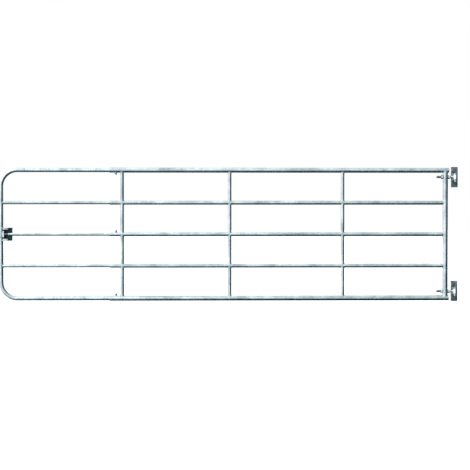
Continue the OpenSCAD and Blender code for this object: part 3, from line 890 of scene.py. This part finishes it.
# %% [markdown]
# ## Clamp screws
#
# A clamp screw is threaded all along and ends in a flat tip, which presses on the inner tube. Each one
# moves by itself, so each is its own piece, with its shank and its ridge in one mesh.

# %% Clamp screws, one on each clamp's own body
M12_PITCH, CLAMP_HEAD_H = 1.75 * MM, 7.5 * MM
TIP_CHAMFER = 1 * MM
clamp_core = M12_R - M12_PITCH / 2
clamp_face = FACE * NUT_AF / 2
for body, name, k, way in CLAMPS:
    length = size(name).z - CLAMP_HEAD_H
    low, high = corners(name)
    tip = Vector((clamp_x, leaf_y, low.z if way > 0 else high.z))
    shank = turned([(clamp_core - TIP_CHAMFER, 0), (clamp_core, TIP_CHAMFER), (clamp_core, length),
                    (clamp_face, length), hex_edge(NUT_AF, length, 1),
                    hex_edge(NUT_AF, length + CLAMP_HEAD_H, -1),
                    (clamp_face, length + CLAMP_HEAD_H)], HEX_STEPS)
    ridge = grow(helix_on_points, spots([(tip + Z * way * M12_PITCH, Z * way)]),
                 turns=(length - M12_PITCH) / M12_PITCH, coil_radius=clamp_core, length=length - M12_PITCH,
                 wire_radius=M12_PITCH / 2, wire_sides=4, steps_per_turn=32, material=bright_zinc)
    screw = joined([(shank, aim(tip, Z * way)), (ridge, Matrix())])
    piece(name + "_threaded", screw, body, bright_zinc, [name])

# %% [markdown]
# ## Hinge pins
#
# A hinge pin drops through both lugs and the eye. Its head is slightly domed, so that rain runs off:
# the dome is a quarter of a flat ellipse, 2 mm high, turned with the rest of the pin.

# %% Hinge pins
PIN_R, PIN_HEAD_R, PIN_HEAD_H = 9 * MM, 13 * MM, 5 * MM
FOOT_CHAMFER, NECK_CHAMFER, DOME_H = 1.5 * MM, 0.8 * MM, 2 * MM
pin_low, pin_high = corners("hinge_pin_bottom")
pin_l = pin_high.z - pin_low.z
neck = pin_l - PIN_HEAD_H
dome = []
for degrees in (0, 20, 40, 60, 80):
    a = math.radians(degrees)
    dome.append((PIN_HEAD_R * math.cos(a), pin_l - DOME_H + DOME_H * math.sin(a)))
pin = turned([(PIN_R - FOOT_CHAMFER, 0), (PIN_R, FOOT_CHAMFER), (PIN_R, neck),
              (PIN_HEAD_R - NECK_CHAMFER, neck), (PIN_HEAD_R, neck + NECK_CHAMFER)] + dome, 56)
pins = copies(pin, [((0, leaf_y, pin_low.z + z), Z) for z in eye_z], pin_zinc)
piece("hinge_pins_domed", pins, "post_fittings", None, ["hinge_pin_bottom", "hinge_pin_top"])

# %% [markdown]
# ## Split pins
#
# A split pin under the washer keeps the hinge pin from riding up. It is one wire folded double: a loop
# at one end, and two legs that are bent apart round the hinge pin once they are through. The legs stay
# 0.12 mm apart, so that the sweep makes one closed wire that doesn't touch itself.

# %% Split pins
split_low, split_high = corners("split_pins")
LEG = 0.95 * MM
HALF_APART = LEG + 0.06 * MM
LOOP_AT, LOOP_R = PIN_R + 7 * MM, 4.2 * MM
split_down = split_low.z + 2 * MM
# Where one bent leg runs, in millimetres from the hinge pin's axis
BENT_LEG = [(-9.2, -6.8), (-11.2, -5.6), (-12.4, -3.8), (-12.6, -2.2), (-11.8, -1.25), (-10.4, -1.01)]
leg = [(x * MM, y * MM) for x, y in BENT_LEG]
ring = []
for degrees in range(-160, 161, 16):
    a = math.radians(degrees)
    ring.append((LOOP_AT + LOOP_R * math.cos(a), LOOP_R * math.sin(a)))
other_leg = [(x, -y) for x, y in leg[::-1]]
line = leg + [(PIN_R, -HALF_APART)] + ring + [(PIN_R, HALF_APART)] + other_leg
split_paths = [([Vector((x, leaf_y + y, z + split_down)) for x, y in line], False) for z in eye_z]
wire = grow(bar_along_path, paths(split_paths), bar_radius=LEG, point_spacing=0.8 * MM, ripple_pitch=1.0,
            ripple_swell=0.0, wander=0.0, seed=1, material=pin_zinc)
piece("split_pins_bent", wire, "post_fittings", None, ["split_pins"])

# %% [markdown]
# ## The latch spring
#
# The spring sits behind the bolt's shoulder, inside the centre rail, and shows only through the
# handle's slot. It is wound by the same tree as the threads, with a rounder wire.

# %% Wind the spring
WIRE_R, SPRING_TURNS, DRAW = 1.1 * MM, 8.0, 26 * MM
spring_low, spring_high = corners("latch_spring")
spring_l = spring_high.x - spring_low.x
spring_r = (spring_high.y - spring_low.y) / 2 - WIRE_R
coil = grow(helix_on_points, spots([((spring_low.x + WIRE_R, leaf_y, rail_z[CENTRE]), X)]),
            turns=SPRING_TURNS, coil_radius=spring_r, length=spring_l - 2 * WIRE_R, wire_radius=WIRE_R,
            wire_sides=12, steps_per_turn=40, material=spring_skin)
spring = piece("latch_spring_wound", coil, "inner_frame", None, ["latch_spring"])
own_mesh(spring)

# %% [markdown]
# ## Eased edges
#
# Steel plate is never as sharp as a drawing: shears and zinc both round its edges, and the rounded
# edge is what catches the light. So do the washers, the caps and the forged handle. A copy of the
# solid is merged into whole faces, and a Bevel eases only the edges that turn more than 40 degrees.

# %% Copy a solid with eased edges
MERGE, FLAT, TURNS_OVER = 0.02 * MM, math.radians(0.5), math.radians(40)


def eased(node, width, body):
    bm = bmesh.new()
    bm.from_mesh(nodes[node].data)
    bmesh.ops.remove_doubles(bm, verts=bm.verts, dist=MERGE)
    bmesh.ops.dissolve_limit(bm, angle_limit=FLAT, verts=bm.verts, edges=bm.edges)
    mesh = bpy.data.meshes.new(node)
    bm.to_mesh(mesh)
    bm.free()
    helper = bpy.data.objects.new("helper", mesh)
    scene.collection.objects.link(helper)
    bevel = helper.modifiers.new("ease", "BEVEL")
    bevel.width = width
    bevel.segments = 2
    bevel.limit_method = "ANGLE"
    bevel.angle_limit = TURNS_OVER
    depsgraph = bpy.context.evaluated_depsgraph_get()
    made = bpy.data.meshes.new_from_object(helper.evaluated_get(depsgraph), depsgraph=depsgraph)
    bpy.data.objects.remove(helper)
    return piece(node + "_eased", made, body, FINISH.get(node, bright_zinc), [node])


# Each row: the solid, how far its edges are eased in millimetres, its body and its slot.
EASED = [("hinge_plate_bottom", 0.8, "post_fittings", "galvanised"),
         ("hinge_plate_top", 0.8, "post_fittings", "galvanised"),
         ("hinge_lugs_bottom", 0.8, "post_fittings", "galvanised"),
         ("hinge_lugs_top", 0.8, "post_fittings", "galvanised"),
         ("pin_washers", 0.4, "post_fittings", "plated_steel"),
         ("latch_box", 0.8, "inner_frame", "galvanised"),
         ("latch_doubler", 0.8, "inner_frame", "galvanised"),
         ("rail_caps", 0.4, "outer_frame", "galvanised"),
         ("latch_handle", 0.3, "latch", "plated_steel")]
for node, width, body, slot in EASED:
    eased(node, width * MM, body)

# %% [markdown]
# ## The handle screw
#
# One hexagon screw holds the grip to the bolt. Its head sits on the flat in front of the grip.

# %% Handle screw
M8_R, M8_HEAD, M8_AF, M8_RIM = 4 * MM, 5.5 * MM, 13 * MM, 0.6 * MM
stub_low, stub_high = corners("handle_screw")
stub = turned([(FACE * M8_AF / 2, 0), hex_edge(M8_AF, 0, 1), hex_edge(M8_AF, M8_HEAD - M8_RIM, 1),
               (M8_AF / 2, M8_HEAD), (M8_R, M8_HEAD), (M8_R, stub_high.y - stub_low.y)], HEX_STEPS)
at = Vector((middle("handle_screw").x, stub_low.y, rail_z[CENTRE]))
screw = joined([(stub, aim(at, Y))])
piece("handle_screw_chamfered", screw, "latch", handled_zinc, ["handle_screw"])

# %% [markdown]
# ## Floor
#
# The floor is a wide pale disc just under where the ground would be. It takes the gate's soft shadow,
# and is kept out of the metal's reflections, so that the undersides of the tubes stay dark and crisp.

# %% Floor
FLOOR_Z, FLOOR_R = -0.251, 60.0
disc = bmesh.new()
bmesh.ops.create_circle(disc, cap_ends=True, segments=128, radius=FLOOR_R,
                        matrix=Matrix.Translation((VIEW_CENTRE.x, leaf_y, FLOOR_Z)))
floor_mesh = bpy.data.meshes.new("floor")
disc.to_mesh(floor_mesh)
disc.free()
floor = bpy.data.objects.new("floor", floor_mesh)
scene.collection.objects.link(floor)
floor.visible_glossy = False
floor.visible_diffuse = False
paper, tree, shader, place = new_material("pale_studio_floor")
fibre = add(tree, "ShaderNodeTexNoise", inputs={"Vector": place, "Scale": 3.0})
pale = add(tree, "ShaderNodeValToRGB", inputs={"Fac": fibre.outputs["Fac"]},
           stops=[(0.3, linear("#f4f4f4")), (0.7, linear("#f8f8f8"))])
tree.links.new(pale.outputs["Color"], shader.inputs["Base Color"])
shader.inputs["Roughness"].default_value = 0.9
shader.inputs["Specular IOR Level"].default_value = 0.0
floor_mesh.materials.append(paper)
print("floor at", FLOOR_Z)

# %% [markdown]
# ## Sky
#
# Metal shows what it faces, so the sky is what models each tube. It is one long gradient: white from
# the upper left, and nearly black blue-green from the lower right, with the change between them kept
# short, so that a tube's underside has a clear edge. A dim panel behind the gate lights its back; from
# the front it only grazes the tubes' edges. The camera itself sees plain white.

# %% Sky gradient and back panel
# Light is given in linear numbers: 0 looks away from the light, 1 looks into it.
SKY = [(0.15, (0.002, 0.005, 0.006, 1)), (0.44, (0.006, 0.014, 0.015, 1)), (0.50, (0.03, 0.045, 0.046, 1)),
       (0.55, (0.37, 0.41, 0.405, 1)), (0.72, (0.475, 0.52, 0.515, 1)), (0.93, (1.0, 1.0, 0.98, 1))]
PANEL = (0.44, 0.48, 0.48, 1)
world = bpy.data.worlds.new("studio_sky")
world.use_nodes = True
scene.world = world
tree = world.node_tree
tree.nodes.clear()
facing = add(tree, "ShaderNodeTexCoord").outputs["Generated"]
toward_light = Vector((-0.72, -0.45, 0.53)).normalized()
toward_panel = Vector((0.15, 0.93, 0.33)).normalized()
lit = add(tree, "ShaderNodeVectorMath", {"operation": "DOT_PRODUCT"}, {0: facing, 1: toward_light})
spread = add(tree, "ShaderNodeMapRange", inputs={
    "Value": lit.outputs["Value"], "From Min": -1.0, "From Max": 1.0})
gradient = add(tree, "ShaderNodeValToRGB", inputs={"Fac": spread.outputs[0]}, stops=SKY)
behind = add(tree, "ShaderNodeVectorMath", {"operation": "DOT_PRODUCT"}, {0: facing, 1: toward_panel})
panel = add(tree, "ShaderNodeMapRange", {"interpolation_type": "SMOOTHSTEP"}, {
    "Value": behind.outputs["Value"], "From Min": 0.30, "From Max": 0.95})
sky = add(tree, "ShaderNodeMix", {"data_type": "RGBA", "blend_type": "ADD"}, {
    FACTOR: panel.outputs[0], FIRST: gradient.outputs["Color"], SECOND: PANEL})
glow = add(tree, "ShaderNodeBackground", inputs={"Color": sky.outputs[RESULT], "Strength": 2.0})
plain = add(tree, "ShaderNodeBackground", inputs={"Color": WHITE, "Strength": 1.0})
seen = add(tree, "ShaderNodeLightPath").outputs["Is Camera Ray"]
both = add(tree, "ShaderNodeMixShader", inputs={0: seen, 1: glow.outputs[0], 2: plain.outputs[0]})
add(tree, "ShaderNodeOutputWorld", inputs={"Surface": both.outputs[0]})
print("sky of", len(SKY), "tones")

# %% [markdown]
# ## Key light
#
# One wide, weak sun from the upper left gives the soft shadow. Standard colours keep white white.

# %% Key light
key = bpy.data.objects.new("key", bpy.data.lights.new("key", "SUN"))
key.data.energy = 1.0
key.data.angle = math.radians(20)
key.rotation_euler = Vector((-0.5, -0.55, 0.8)).to_track_quat("Z", "Y").to_euler()
scene.collection.objects.link(key)
scene.view_settings.view_transform = "Standard"
scene.view_settings.look = "None"
print("lights ready")
